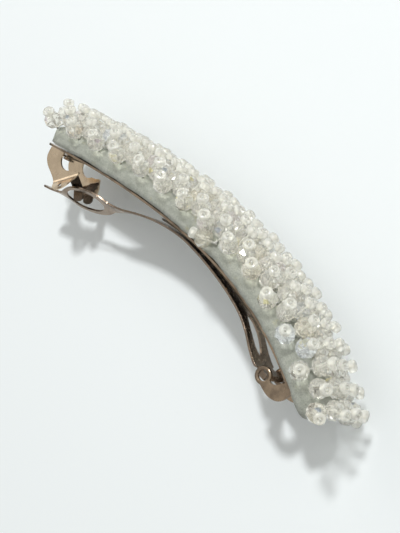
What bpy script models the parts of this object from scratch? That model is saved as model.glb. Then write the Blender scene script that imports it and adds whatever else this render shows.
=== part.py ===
"""A hair clip: a sprung barrette mechanism under a felt pad that is sewn all over with crystal stems.

The clip lies on its side. +X runs along the bar from the clasp to the hinge, +Y is the convex side
that carries the pad, and +Z is up, across the bar's width. Lengths are in metres.
"""

import math
import random

import bmesh
import bpy
import numpy as np
from mathutils import Matrix, Vector

MM = 0.001
GAP = 0.3 * MM

# Base bar: an arched strip, a little higher towards the hinge.
BAR_HALF_CHORD = 42.7 * MM
BAR_FROM = -43.7 * MM
BAR_TO = 42.7 * MM
BAR_RISE = 7.0 * MM
BAR_CREST = 0.65 * MM
BAR_TILT = 0.7 * MM
BAR_LEAN = 2.7 * MM
BAR_LIFT = 0.3 * MM
BAR_HALF_WIDTH = 4.0 * MM
BAR_THICKNESS = 0.6 * MM
BAR_STATIONS = 36
BAR_END_PACKING = 0.05
BAR_END_ROUND = 2.2 * MM

# Hinge: two cheeks bent down from the bar, each with a ring that holds a trunnion of the arm.
PIN_X = 35.3 * MM
PIN_Y = -8.0 * MM
RING_RADIUS = 1.8 * MM
RING_HOLE = 1.1 * MM
CHEEK_THICKNESS = 0.5 * MM
CHEEK_OUTLINE = ((35.9, -9.7), (38.2, -10.2), (40.0, -10.0), (41.4, -9.1), (42.1, -7.4), (42.0, -6.1),
                 (40.3, -5.4), (39.6, -6.3), (38.8, -7.3), (37.8, -7.9), (36.6, -7.6))

# Closing arm, from the hinge to the thumb tip: centre line, then half width and twist at stations.
ARM_ROUTE = ((36.2, -8.0), (34.6, -8.05), (32.4, -7.95), (29.6, -6.7), (26.0, -4.6), (22.0, -3.0),
             (16.0, -1.8), (9.0, -1.15), (2.5, -1.1), (-2.0, -1.65), (-7.0, -2.9), (-12.0, -4.8),
             (-16.5, -7.0), (-20.5, -8.95), (-25.0, -11.0), (-29.5, -13.2), (-33.5, -15.2), (-39.0, -17.0))
ARM_THICKNESS = 0.6 * MM
ARM_ROWS = 64
ARM_ROOT_HALF_WIDTH = 3.7 * MM
ARM_TONGUE_HALF_WIDTH = 2.8 * MM
ARM_NECK_HALF_WIDTH = 1.9 * MM
ARM_TIP_HALF_WIDTH = 1.5 * MM
ARM_SHOULDER = 3.6 * MM
ARM_NECK_AT = 54.5 * MM
EYE_CENTRE = 66.3 * MM
EYE_HALF_LENGTH = 8.6 * MM
EYE_HALF_WIDTH = 4.4 * MM
EYE_HOLE_CENTRE = 67.0 * MM
EYE_HOLE_HALF_LENGTH = 5.3 * MM
EYE_HOLE_HALF_WIDTH = 3.4 * MM
EYE_CANT = math.radians(28)
CANT_FROM = 54.5 * MM
CANT_REACH = 7.5 * MM
CANT_BACK_FROM = 70.0 * MM
SLOT_CENTRE = 10.4 * MM
SLOT_HALF_LENGTH = 4.3 * MM
SLOT_HALF_WIDTH = 1.4 * MM
TRUNNION_HALF_SPAN = 4.1 * MM
TRUNNION_HEIGHT = 0.6 * MM
TRUNNION_WIDTH = 1.2 * MM

# Tension spring: a thin bowed strip between the arm and the bar, fixed near the hinge.
SPRING_ROUTE = ((33.2, -4.1), (29.0, -2.7), (22.0, -1.6), (16.0, -0.85), (9.0, -0.36), (2.5, -0.45),
                (-2.0, -0.87), (-7.2, -1.9))
SPRING_THICKNESS = 0.25 * MM
SPRING_HALF_WIDTH = 2.0 * MM
SPRING_ROWS = 18

# Clasp: a saddle riveted under the bar, and two jaws that hang from its edges.
SADDLE_FROM = -40.6 * MM
SADDLE_TO = -36.9 * MM
SADDLE_THICKNESS = 0.4 * MM
SADDLE_HALF_WIDTH = 3.3 * MM
RIVET_X = -38.7 * MM
RIVET_SHANK = 0.7 * MM
RIVET_HEAD = 1.3 * MM
RIVET_HEAD_HEIGHT = 0.4 * MM
JAW_THICKNESS = 0.45 * MM
JAW_OUTER_Z = 4.0 * MM
JAW_OUTLINE = ((-41.2, -8.6), (-40.8, -10.2), (-39.9, -11.3), (-38.7, -12.0), (-37.2, -12.5), (-35.6, -13.1),
               (-34.2, -13.9), (-32.75, -14.3), (-31.5, -13.9), (-30.6, -12.9), (-30.1, -11.6), (-30.0, -10.2),
               (-30.1, -8.7), (-30.5, -7.7), (-31.5, -8.3))
JAW_CUT_CENTRE = (-34.7, -7.3)
JAW_CUT_RADIUS = 2.45
JAW_CUT_ANGLES = (-35, -65, -95, -125, -155)
JAW_TOP = ((-37.2, -7.52),)
LIP_CREASE = ((-36.3, -14.6), (-31.2, -8.3))
LIP_FLARE = 0.42
CATCH_FROM = (-31.0, -9.3)
CATCH_TO = (-27.6, -13.1)
CATCH_HALF_WIDTH = 1.25 * MM
CATCH_Z_START = 3.78 * MM
CATCH_Z_END = 1.7 * MM
CATCH_BEND = 0.5
CATCH_ROWS = 6

# Felt pad on the convex side: a cover over a core of wadding, and a backing against the bar.
PAD_FROM = -42.6 * MM
PAD_TO = 46.6 * MM
PAD_HALF_WIDTH = 5.3 * MM
PAD_BOTTOM = 0.35 * MM
PAD_TOP = 4.7 * MM
PAD_CORNER = 2.2 * MM
PAD_STATIONS = 22
COVER_THICKNESS = 1.1 * MM
END_WALL = 2.0 * MM
BACKING_BOTTOM = 0.3 * MM
BACKING_TOP = 1.2 * MM
CORE_INSET = 2.6 * MM

# Crystal stems, in rows across the pad: a faceted bead with a seed bead above it on a stiff thread.
ROWS = 27
ROW_FIRST = -40.7 * MM
ROW_LAST = 45.8 * MM
STEMS_PER_ROW = 5
STEM_PITCH = 3.9 * MM
STEM_SHIFTS = (-0.3 * MM, -2.2 * MM)
STEM_STANDOFF = 2.35 * MM
CRYSTAL_RADIUS = 1.8 * MM
CRYSTAL_HALF_HEIGHT = 1.5 * MM
SEED_RADIUS = 1.15 * MM
SEED_AT = 2.65 * MM
STEM_SIDES = 5
THREAD_RADIUS = 0.35 * MM
THREAD_RINGS = 8
THREAD_OVERRUN = 0.6 * MM
THREAD_CLEARANCE = 0.7 * MM
END_FAN = math.radians(34)
CLASP_END_FAN = math.radians(4)
END_FAN_REACH = 16 * MM
STEM_SCATTER = 0.55 * MM
SCATTER_SEED = 5
SETTLE_STEPS = 60
SETTLE_SEED = 11
STEM_LEAN = 0.24
# One stem has slipped down the near side and hangs over the bar's edge.
STRAY_ROW = 15
STRAY_OFFSET = 9.1 * MM
STRAY_WAY = (-0.87, -0.21, 0.45)


def arch(x):
    """Height of the bar's convex face at x."""
    u = x / BAR_HALF_CHORD
    return BAR_LIFT - BAR_RISE * u * u - BAR_CREST * u**4 + BAR_TILT * u + BAR_LEAN * (u - u**3)


def arch_frame(x):
    """The point on the bar's convex face at x, its tangent and its outward normal."""
    u = x / BAR_HALF_CHORD
    slope = (-2 * BAR_RISE * u - 4 * BAR_CREST * u**3 + BAR_TILT + BAR_LEAN * (1 - 3 * u * u)) / BAR_HALF_CHORD
    tangent = Vector((1, slope, 0)).normalized()
    return Vector((x, arch(x), 0)), tangent, Vector((-tangent.y, tangent.x, 0))


def on_arch(x, height, across):
    point, _, normal = arch_frame(x)
    return point + normal * height + Vector((0, 0, across))


def even_along_arch(first, last, count):
    """Values of x that are evenly spaced along the arch between first and last."""
    xs = np.linspace(first, last, 400)
    ys = np.array([arch(x) for x in xs])
    lengths = np.concatenate([[0], np.cumsum(np.hypot(np.diff(xs), np.diff(ys)))])
    return np.interp(np.linspace(0, lengths[-1], count), lengths, xs)


def millimetres(points):
    return [Vector((x * MM, y * MM, 0)) for x, y in points]


class Route:
    """A smooth curve in the XY plane through a few points, read by its length from the first point."""

    def __init__(self, points, steps=12):
        knots = [2 * points[0] - points[1], *points, 2 * points[-1] - points[-2]]
        self.points = [points[0]]
        for before, start, end, after in zip(knots, knots[1:], knots[2:], knots[3:]):
            for step in range(1, steps + 1):
                t = step / steps
                self.points.append(0.5 * (2 * start + (end - before) * t
                                          + (2 * before - 5 * start + 4 * end - after) * t**2
                                          + (3 * start - before - 3 * end + after) * t**3))
        runs = [(b - a).length for a, b in zip(self.points, self.points[1:])]
        self.lengths = np.concatenate([[0], np.cumsum(runs)])
        self.length = float(self.lengths[-1])

    def at(self, length):
        """The point at this length, and the unit normal to the left of the way it runs."""
        xs = [p.x for p in self.points]
        ys = [p.y for p in self.points]
        here = Vector((np.interp(length, self.lengths, xs), np.interp(length, self.lengths, ys), 0))
        low, high = max(length - MM, 0), min(length + MM, self.length)
        along = Vector((np.interp(high, self.lengths, xs) - np.interp(low, self.lengths, xs),
                        np.interp(high, self.lengths, ys) - np.interp(low, self.lengths, ys), 0)).normalized()
        return here, Vector((-along.y, along.x, 0))


def material(name, colour, roughness, metallic=0.0):
    made = bpy.data.materials.new(name)
    made.use_nodes = True
    shader = made.node_tree.nodes["Principled BSDF"]
    shader.inputs["Base Color"].default_value = (*colour, 1)
    shader.inputs["Roughness"].default_value = roughness
    shader.inputs["Metallic"].default_value = metallic
    made.diffuse_color = (*colour, 1)
    return made


def bronze(name, shade=1.0):
    return material(name, (0.42 * shade, 0.29 * shade, 0.19 * shade), 0.25, 1.0)


def add_object(name, mesh, collection, finish=None, pivot=(0, 0, 0)):
    """Puts the mesh in the collection, with the object's origin at the pivot and the shape where it was."""
    mesh.transform(Matrix.Translation(-Vector(pivot)))
    mesh.update()
    obj = bpy.data.objects.new(name, mesh)
    obj.location = pivot
    collection.objects.link(obj)
    if finish:
        mesh.materials.append(finish)
    return obj


def add_cutter(name, mesh, cutters):
    obj = add_object(name, mesh, cutters)
    obj.hide_render = True
    obj.display_type = "WIRE"
    return obj


def join_cut(obj, other, operation):
    modifier = obj.modifiers.new(operation.title(), "BOOLEAN")
    modifier.operation = operation
    modifier.solver = "EXACT"
    modifier.object = other


def to_mesh(bm, name):
    mesh = bpy.data.meshes.new(name)
    bmesh.ops.recalc_face_normals(bm, faces=bm.faces)
    bm.to_mesh(mesh)
    bm.free()
    return mesh


def ribbon(name, rows, columns, place, open_cell=None):
    """The mid surface of a strip. place(u, v) gives each corner, and open_cell(u, v) leaves a cell out."""
    bm = bmesh.new()
    bmesh.ops.create_grid(bm, x_segments=rows, y_segments=columns, size=1)
    if open_cell:
        centres = {face: face.calc_center_median() for face in bm.faces}
        gone = [face for face, at in centres.items() if open_cell((at.x + 1) / 2, at.y)]
        bmesh.ops.delete(bm, geom=gone, context="FACES")
    for vert in bm.verts:
        vert.co = place((vert.co.x + 1) / 2, vert.co.y)
    return to_mesh(bm, name)


def thicken(obj, thickness):
    modifier = obj.modifiers.new("Thickness", "SOLIDIFY")
    modifier.thickness = thickness
    modifier.offset = 0


def outline_mesh(name, points, holes, thickness, middle_z):
    """A flat plate parallel to the XY plane, from an outline and its holes."""
    curve = bpy.data.curves.new(name, "CURVE")
    curve.dimensions = "2D"
    curve.fill_mode = "BOTH"
    curve.extrude = thickness / 2
    for loop in (points, *holes):
        spline = curve.splines.new("POLY")
        spline.points.add(len(loop) - 1)
        for control, point in zip(spline.points, loop):
            control.co = (point.x, point.y, 0, 1)
        spline.use_cyclic_u = True
    holder = bpy.data.objects.new(name, curve)
    bpy.context.scene.collection.objects.link(holder)
    graph = bpy.context.evaluated_depsgraph_get()
    mesh = bpy.data.meshes.new_from_object(holder.evaluated_get(graph))
    bpy.data.objects.remove(holder)
    bpy.data.curves.remove(curve)
    bm = bmesh.new()
    bm.from_mesh(mesh)
    bpy.data.meshes.remove(mesh)
    bmesh.ops.remove_doubles(bm, verts=bm.verts, dist=1e-6)
    bmesh.ops.translate(bm, verts=bm.verts, vec=(0, 0, middle_z))
    return to_mesh(bm, name)


def cylinder(name, radius, low, high, place, sides=20):
    """A cylinder across the bar: its ends are at low and high along place's own Z axis."""
    bm = bmesh.new()
    bmesh.ops.create_cone(bm, cap_ends=True, segments=sides, radius1=radius, radius2=radius, depth=high - low)
    bmesh.ops.transform(bm, verts=bm.verts, matrix=place @ Matrix.Translation((0, 0, (low + high) / 2)))
    return to_mesh(bm, name)


def arch_place(x):
    """A matrix that stands things on the bar at x, with their Z along the bar's outward normal."""
    point, tangent, normal = arch_frame(x)
    turned = Matrix((tangent, Vector((0, 0, -1)), normal)).transposed()
    return Matrix.Translation(point) @ turned.to_4x4()


def loft(name, rings):
    """A closed solid through rings of equally many points."""
    bm = bmesh.new()
    loops = [[bm.verts.new(point) for point in ring] for ring in rings]
    count = len(rings[0])
    for low, high in zip(loops, loops[1:]):
        for i in range(count):
            bm.faces.new((low[i], low[(i + 1) % count], high[(i + 1) % count], high[i]))
    bm.faces.new(loops[0])
    bm.faces.new(loops[-1])
    return to_mesh(bm, name)


def rounded(distance, reach):
    """0 at a round end and 1 from reach inwards, along a quarter of a circle."""
    t = min(max(distance / reach, 0), 1)
    return math.sqrt(1 - (1 - t) ** 2)


def base_bar(collection, cutters):
    """The arched bar with round ends, joined to the two hinge cheeks, and holed for the rivet."""
    def place(u, v):
        even = u - BAR_END_PACKING * math.sin(2 * math.pi * u)
        x = BAR_FROM + (BAR_TO - BAR_FROM) * even
        half = BAR_HALF_WIDTH * (0.3 + 0.7 * rounded(min(x - BAR_FROM, BAR_TO - x), BAR_END_ROUND))
        return on_arch(x, -BAR_THICKNESS / 2, v * half)

    bar = add_object("base_bar", ribbon("base_bar", BAR_STATIONS, 1, place), collection, bronze("bar_bronze"))
    thicken(bar, BAR_THICKNESS)
    ring = Vector((PIN_X, PIN_Y, 0))
    hole = [ring + Vector((math.cos(a), math.sin(a), 0)) * RING_HOLE
            for a in (2 * math.pi * i / 14 for i in range(14))]
    start, end = math.radians(70), math.radians(290)
    eye = [ring + Vector((math.cos(a), math.sin(a), 0)) * RING_RADIUS
           for a in (start + (end - start) * i / 9 for i in range(10))]
    for side, name in ((1, "near"), (-1, "far")):
        middle = side * (BAR_HALF_WIDTH - CHEEK_THICKNESS / 2 - 0.05 * MM)
        cheek = outline_mesh(name + "_cheek", eye + millimetres(CHEEK_OUTLINE), [hole], CHEEK_THICKNESS, middle)
        join_cut(bar, add_cutter(name + "_cheek", cheek, cutters), "UNION")
    hole = cylinder("rivet_hole", RIVET_SHANK + GAP, -2 * BAR_THICKNESS, BAR_THICKNESS, arch_place(RIVET_X))
    join_cut(bar, add_cutter("rivet_hole", hole, cutters), "DIFFERENCE")


def clasp_saddle(collection, cutters):
    """The plate under the bar that carries the jaws, and the rivet that holds it to the bar."""
    top = -BAR_THICKNESS - GAP

    def place(u, v):
        x = SADDLE_FROM + (SADDLE_TO - SADDLE_FROM) * u
        return on_arch(x, top - SADDLE_THICKNESS / 2, v * SADDLE_HALF_WIDTH)

    finish = bronze("clasp_bronze")
    saddle = add_object("clasp_saddle", ribbon("clasp_saddle", 4, 2, place), collection, finish)
    thicken(saddle, SADDLE_THICKNESS)
    here = arch_place(RIVET_X)
    hole = cylinder("saddle_hole", RIVET_SHANK + GAP, -4 * BAR_THICKNESS, BAR_THICKNESS, here)
    join_cut(saddle, add_cutter("saddle_hole", hole, cutters), "DIFFERENCE")
    head_top = top - SADDLE_THICKNESS - GAP
    shank = cylinder("clasp_rivet", RIVET_SHANK, head_top - RIVET_HEAD_HEIGHT / 2, 0, here, 16)
    rivet = add_object("clasp_rivet", shank, collection, bronze("rivet_bronze", 1.1))
    head = cylinder("rivet_head", RIVET_HEAD, head_top - RIVET_HEAD_HEIGHT, head_top, here, 16)
    join_cut(rivet, add_cutter("rivet_head", head, cutters), "UNION")


def jaw_plate(name):
    """One clasp jaw as a flat pattern with its round cut-out, then folded outwards past the lip's crease."""
    centre = Vector((*JAW_CUT_CENTRE, 0))
    cut = [centre + Vector((math.cos(math.radians(a)), math.sin(math.radians(a)), 0)) * JAW_CUT_RADIUS
           for a in JAW_CUT_ANGLES]
    outline = millimetres(JAW_OUTLINE) + [p * MM for p in cut] + millimetres(JAW_TOP)
    mesh = outline_mesh(name, outline, [], JAW_THICKNESS, JAW_OUTER_Z - JAW_THICKNESS / 2)
    start, end = millimetres(LIP_CREASE)
    along = (end - start).normalized()
    across = Vector((along.y, -along.x, 0))
    bm = bmesh.new()
    bm.from_mesh(mesh)
    geometry = bm.verts[:] + bm.edges[:] + bm.faces[:]
    bmesh.ops.bisect_plane(bm, geom=geometry, plane_co=start, plane_no=across, dist=1e-6)
    for vert in bm.verts:
        vert.co.z += LIP_FLARE * max((vert.co - start).dot(across), 0)
    bmesh.ops.triangulate(bm, faces=bm.faces)
    bm.to_mesh(mesh)
    bm.free()
    return mesh


def catch_mesh(name):
    """The tongue that hangs from a jaw's horn and goes down through the arm's eye."""
    start, end = millimetres((CATCH_FROM, CATCH_TO))
    run = end - start
    across = Vector((-run.y, run.x, 0)).normalized()

    def place(u, v):
        half = CATCH_HALF_WIDTH * (0.35 + 0.65 * rounded((1 - u) * run.length, 0.9 * MM))
        lean = min(u / CATCH_BEND, 1)
        height = CATCH_Z_START + (CATCH_Z_END - CATCH_Z_START) * lean
        return start + run * u + across * v * half + Vector((0, 0, height))

    return ribbon(name, CATCH_ROWS, 1, place)


def jaw(side, name, collection, cutters):
    """A jaw of the clasp. Its origin is on the fold where it springs from the bar's edge."""
    root, _, normal = arch_frame(RIVET_X)
    pivot = root - normal * BAR_THICKNESS + Vector((0, 0, side * (JAW_OUTER_Z - JAW_THICKNESS / 2)))
    mirrored = Matrix.Diagonal((1, 1, side, 1))
    plate, tongue = jaw_plate(name), catch_mesh(name + "_catch")
    for mesh in (plate, tongue):
        mesh.transform(mirrored)
        if side < 0:
            mesh.flip_normals()
    obj = add_object(name, plate, collection, bronze(name + "_bronze", 1.05), pivot)
    catch = add_cutter(name + "_catch", tongue, cutters)
    thicken(catch, JAW_THICKNESS)
    join_cut(obj, catch, "UNION")


def arm_half_width(length):
    """Half of the closing arm's width at a length from its hinge end."""
    if length < ARM_SHOULDER:
        return ARM_TONGUE_HALF_WIDTH
    taper = min((length - ARM_SHOULDER) / (ARM_NECK_AT - ARM_SHOULDER), 1)
    half = ARM_ROOT_HALF_WIDTH + (ARM_NECK_HALF_WIDTH - ARM_ROOT_HALF_WIDTH) * taper**1.3
    if length > EYE_CENTRE:
        half = ARM_TIP_HALF_WIDTH
    leaf = 1 - ((length - EYE_CENTRE) / EYE_HALF_LENGTH) ** 2
    if leaf > 0:
        half = max(half, EYE_HALF_WIDTH * leaf**0.8)
    return half


def arm_hole_half_width(length, half):
    """Half of the hole's width at a length: the eye, the slot, or a hair line where the arm is whole."""
    for centre, half_length, widest in ((EYE_HOLE_CENTRE, EYE_HOLE_HALF_LENGTH, EYE_HOLE_HALF_WIDTH),
                                        (SLOT_CENTRE, SLOT_HALF_LENGTH, SLOT_HALF_WIDTH)):
        inside = 1 - ((length - centre) / half_length) ** 2
        if inside > 0:
            return max(widest * math.sqrt(inside), 0.18 * half)
    return 0.18 * half


def smooth_step(t):
    t = min(max(t, 0), 1)
    return t * t * (3 - 2 * t)


def closing_arm(collection, cutters):
    """The arm that closes on the hair: a strip with a slot, an eye for the catches and a thumb tip."""
    route = Route(millimetres(ARM_ROUTE))

    def place(u, v):
        length = u * route.length
        point, normal = route.at(length)
        half = arm_half_width(length)
        if route.length - length < 1.2 * MM:
            half *= 0.45 + 0.55 * rounded(route.length - length, 1.2 * MM)
        edge = half if abs(v) > 0.5 else arm_hole_half_width(length, half)
        across = math.copysign(edge, v)
        cant = EYE_CANT * smooth_step((length - CANT_FROM) / CANT_REACH)
        cant *= 1 - smooth_step((length - CANT_BACK_FROM) / CANT_REACH)
        upward = -normal
        return point + Vector((0, 0, across * math.cos(cant))) + upward * across * math.sin(cant)

    def open_cell(u, v):
        length = u * route.length
        return abs(v) < 0.3 and (abs(length - EYE_HOLE_CENTRE) < EYE_HOLE_HALF_LENGTH
                                 or abs(length - SLOT_CENTRE) < SLOT_HALF_LENGTH)

    pivot = (PIN_X, PIN_Y, 0)
    mesh = ribbon("closing_arm", ARM_ROWS, 3, place, open_cell)
    arm = add_object("closing_arm", mesh, collection, bronze("arm_bronze"), pivot)
    thicken(arm, ARM_THICKNESS)
    bm = bmesh.new()
    bmesh.ops.create_cube(bm, size=1)
    bmesh.ops.scale(bm, vec=(TRUNNION_WIDTH, TRUNNION_HEIGHT, 2 * TRUNNION_HALF_SPAN), verts=bm.verts)
    bmesh.ops.translate(bm, vec=pivot, verts=bm.verts)
    join_cut(arm, add_cutter("trunnions", to_mesh(bm, "trunnions"), cutters), "UNION")


def tension_spring(collection):
    """The thin strip that pushes the arm open. Its origin is at its fixed end."""
    route = Route(millimetres(SPRING_ROUTE))

    def place(u, v):
        length = u * route.length
        point, _ = route.at(length)
        half = SPRING_HALF_WIDTH * (0.5 + 0.5 * rounded(route.length - length, 2 * MM))
        return point + Vector((0, 0, v * half))

    pivot = millimetres(SPRING_ROUTE)[0]
    mesh = ribbon("tension_spring", SPRING_ROWS, 1, place)
    thicken(add_object("tension_spring", mesh, collection, bronze("spring_bronze", 0.8), pivot), SPRING_THICKNESS)


def pad_section(half_width, bottom, top, corner, steps=4):
    """Half-round-topped section of the pad as (across, height) pairs."""
    arcs = [math.pi / 2 * i / steps for i in range(steps + 1)]
    right = [(half_width - corner * (1 - math.cos(a)), top - corner * (1 - math.sin(a))) for a in arcs]
    return [(half_width * 0.93, bottom), *right, *[(-t, h) for t, h in reversed(right)], (-half_width * 0.93, bottom)]


def pad_solid(name, first, last, section, stations, round_end):
    """A section swept along the arch, narrowing at its two round ends."""
    rings = []
    for u in (0.5 - 0.5 * math.cos(math.pi * i / (stations - 1)) for i in range(stations)):
        x = first + (last - first) * (0.35 * u + 0.65 * (u * u * (3 - 2 * u)))
        narrow = 0.55 + 0.45 * rounded(min(x - first, last - x), round_end)
        middle = sum(h for _, h in section) / len(section)
        rings.append([on_arch(x, middle + (h - middle) * (0.5 + 0.5 * narrow), t * narrow) for t, h in section])
    return loft(name, rings)


def felt_pad(collection, cutters):
    """The cover felt with its open side on the bar, and inside it the backing felt and the wadding."""
    section = pad_section(PAD_HALF_WIDTH, PAD_BOTTOM, PAD_TOP, PAD_CORNER)
    felt = material("felt", (0.42, 0.45, 0.38), 0.95)
    outer = pad_solid("felt_cover", PAD_FROM, PAD_TO, section, PAD_STATIONS, 5 * MM)
    cover = add_object("felt_cover", outer, collection, felt)
    inner_half = PAD_HALF_WIDTH - COVER_THICKNESS
    hollow = pad_section(inner_half, PAD_BOTTOM - MM, PAD_TOP - COVER_THICKNESS, 1.2 * MM, 2)
    inner = pad_solid("cover_hollow", PAD_FROM + END_WALL, PAD_TO - END_WALL, hollow, PAD_STATIONS, 5 * MM)
    join_cut(cover, add_cutter("cover_hollow", inner, cutters), "DIFFERENCE")
    half = inner_half - GAP
    start, end = PAD_FROM + CORE_INSET, PAD_TO - CORE_INSET
    core = pad_section(half, BACKING_TOP + GAP, PAD_TOP - COVER_THICKNESS - GAP, 1.0 * MM, 2)
    inside = pad_solid("wadding_core", start, end, core, PAD_STATIONS, 5 * MM)
    add_object("wadding_core", inside, collection, material("wadding", (0.8, 0.8, 0.76), 1.0))
    flat = [(half, BACKING_BOTTOM), (half, BACKING_TOP), (-half, BACKING_TOP), (-half, BACKING_BOTTOM)]
    backing = pad_solid("backing_felt", start, end, flat, PAD_STATIONS, 5 * MM)
    add_object("backing_felt", backing, collection, material("backing", (0.30, 0.32, 0.27), 0.95))


def pad_surface(offset, lift):
    """The pad's section, read along its outside from the crown: (across, height, tilt) at this offset."""
    flat = PAD_HALF_WIDTH - PAD_CORNER
    reach = max(abs(offset) - flat, 0)
    radius = PAD_CORNER + STEM_STANDOFF
    tilt = min(reach / radius, math.pi / 2)
    past = reach - tilt * radius
    across = min(abs(offset), flat) + (PAD_CORNER + lift) * math.sin(tilt)
    height = PAD_TOP - PAD_CORNER + (PAD_CORNER + lift) * math.cos(tilt) - past
    return math.copysign(across, offset), height, math.copysign(tilt, offset)


def row_places():
    """For every row: its x on the arch, and the offsets of the first and last stem from the crown."""
    for row, x in enumerate(even_along_arch(ROW_FIRST, ROW_LAST, ROWS)):
        shift = STEM_SHIFTS[row % 2]
        reach = (STEMS_PER_ROW - 1) / 2 * STEM_PITCH
        yield row, x, shift - reach, shift + reach


def stem_foot(x, offset):
    """The foot of a stem on a row's thread and the pad's outward normal there."""
    across, height, tilt = pad_surface(offset, THREAD_CLEARANCE)
    _, _, normal = arch_frame(x)
    return on_arch(x, height, across), normal * math.cos(tilt) + Vector((0, 0, math.sin(tilt)))


def stem_starts():
    """The row, foot and first direction of every stem. Stems near the ends fan outwards."""
    chance = random.Random(SCATTER_SEED)
    stems = []
    for row, x, first, last in row_places():
        to_hinge = max((x - ROW_LAST) / END_FAN_REACH + 1, 0)
        to_clasp = max((ROW_FIRST - x) / END_FAN_REACH + 1, 0)
        fan = END_FAN * to_hinge**2 - CLASP_END_FAN * to_clasp**2
        for offset in np.linspace(first, last, STEMS_PER_ROW):
            foot, outward = stem_foot(x, offset + chance.uniform(-STEM_SCATTER, STEM_SCATTER))
            _, tangent, _ = arch_frame(x)
            stems.append((row, foot, outward * math.cos(fan) + tangent * math.sin(fan)))
    return stems


def settle(stems):
    """Lets stems that stand too close lean apart, as sewn stems do, after a small random lean."""
    chance = random.Random(SETTLE_SEED)
    feet = np.array([foot for _, foot, _ in stems])
    first = np.array([way for _, _, way in stems])
    ways = first + np.array([[chance.gauss(0, STEM_LEAN) for _ in range(3)] for _ in stems])
    wanted = 2 * CRYSTAL_RADIUS + 0.35 * MM
    for _ in range(SETTLE_STEPS):
        ways /= np.linalg.norm(ways, axis=1)[:, None]
        beads = feet + ways * STEM_STANDOFF
        between = beads[:, None, :] - beads[None, :, :]
        distance = np.linalg.norm(between, axis=2) + np.eye(len(stems))
        push = np.clip(wanted - distance, 0, None) / distance
        np.fill_diagonal(push, 0)
        ways += 0.35 * (between * push[:, :, None]).sum(axis=1) / STEM_STANDOFF
        ways += 0.03 * (first - ways)
    ways /= np.linalg.norm(ways, axis=1)[:, None]
    return ways


def stem_mesh(bm, foot, way):
    """A stem as one turned shape: thread, faceted crystal, thread and seed bead."""
    turn = Vector((0, 0, 1)).rotation_difference(Vector(way)).to_matrix()
    neck = STEM_STANDOFF + CRYSTAL_HALF_HEIGHT
    seed = STEM_STANDOFF + SEED_AT
    profile = ((THREAD_RADIUS * 0.8, -0.2 * MM), (CRYSTAL_RADIUS, STEM_STANDOFF), (THREAD_RADIUS, neck),
               (SEED_RADIUS, seed), (SEED_RADIUS * 0.35, seed + SEED_RADIUS))
    rings = []
    for radius, height in profile:
        angles = [2 * math.pi * i / STEM_SIDES for i in range(STEM_SIDES)]
        ring = [turn @ Vector((radius * math.cos(a), radius * math.sin(a), height)) + foot for a in angles]
        rings.append([bm.verts.new(point) for point in ring])
    for lower, upper in zip(rings, rings[1:]):
        for i in range(STEM_SIDES):
            after = (i + 1) % STEM_SIDES
            bm.faces.new((lower[i], lower[after], upper[after], upper[i]))
    bm.faces.new(rings[0][::-1])
    bm.faces.new(rings[-1])


def thread_mesh(name, x, first, last):
    """The stiff thread that a row's stems rise from, following the pad's section."""
    _, tangent, _ = arch_frame(x)
    rings = []
    for offset in np.linspace(first, last, THREAD_RINGS):
        centre, outward = stem_foot(x, offset)
        corners = ((1, 0), (0, 1), (-1, 0), (0, -1))
        rings.append([centre + (outward * a + tangent * b) * THREAD_RADIUS for a, b in corners])
    return loft(name, rings)


def bead_rows(collection, cutters):
    """One node for each row of stems, joined by the row's thread."""
    crystal = material("crystal", (0.93, 0.92, 0.86), 0.1)
    stems = stem_starts()
    stems = [(row, foot, way) for (row, foot, _), way in zip(stems, settle(stems))]
    for row, x, first, last in row_places():
        name = f"bead_row_{row + 1:02d}"
        if row == STRAY_ROW:
            last = STRAY_OFFSET
            stems.append((row, stem_foot(x, STRAY_OFFSET)[0], STRAY_WAY))
        mesh = thread_mesh(name, x, first - THREAD_OVERRUN, last + THREAD_OVERRUN)
        thread = add_object(name, mesh, collection, crystal)
        bm = bmesh.new()
        for of_row, foot, way in stems:
            if of_row == row:
                stem_mesh(bm, foot, way)
        join_cut(thread, add_cutter(name + "_stems", to_mesh(bm, name + "_stems"), cutters), "UNION")


def move_origin_to_footprint(collection):
    """Stands the clip on the ground, with the origin under the middle of its bounding box."""
    bpy.context.view_layer.update()
    graph = bpy.context.evaluated_depsgraph_get()
    corners = []
    for obj in collection.objects:
        solid = obj.evaluated_get(graph)
        corners += [solid.matrix_world @ vert.co for vert in solid.data.vertices]
    low = [min(point[i] for point in corners) for i in range(3)]
    high = [max(point[i] for point in corners) for i in range(3)]
    shift = Vector((-(low[0] + high[0]) / 2, -(low[1] + high[1]) / 2, -low[2]))
    for obj in bpy.data.objects:
        obj.location += shift


def main():
    for obj in list(bpy.data.objects):
        bpy.data.objects.remove(obj)
    collection = bpy.data.collections.new("hair_clip")
    cutters = bpy.data.collections.new("cutters")
    for made in (collection, cutters):
        bpy.context.scene.collection.children.link(made)
    base_bar(collection, cutters)
    clasp_saddle(collection, cutters)
    for side, name in ((1, "near_jaw"), (-1, "far_jaw")):
        jaw(side, name, collection, cutters)
    closing_arm(collection, cutters)
    tension_spring(collection)
    felt_pad(collection, cutters)
    bead_rows(collection, cutters)
    move_origin_to_footprint(collection)


main()
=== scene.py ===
"""The looks of a hair clip: polished bronze barrette, felt pad and sewn crystal stems."""

import math
import random

import bmesh
import bpy
import numpy as np
from mathutils import Matrix, Vector, noise


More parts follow.
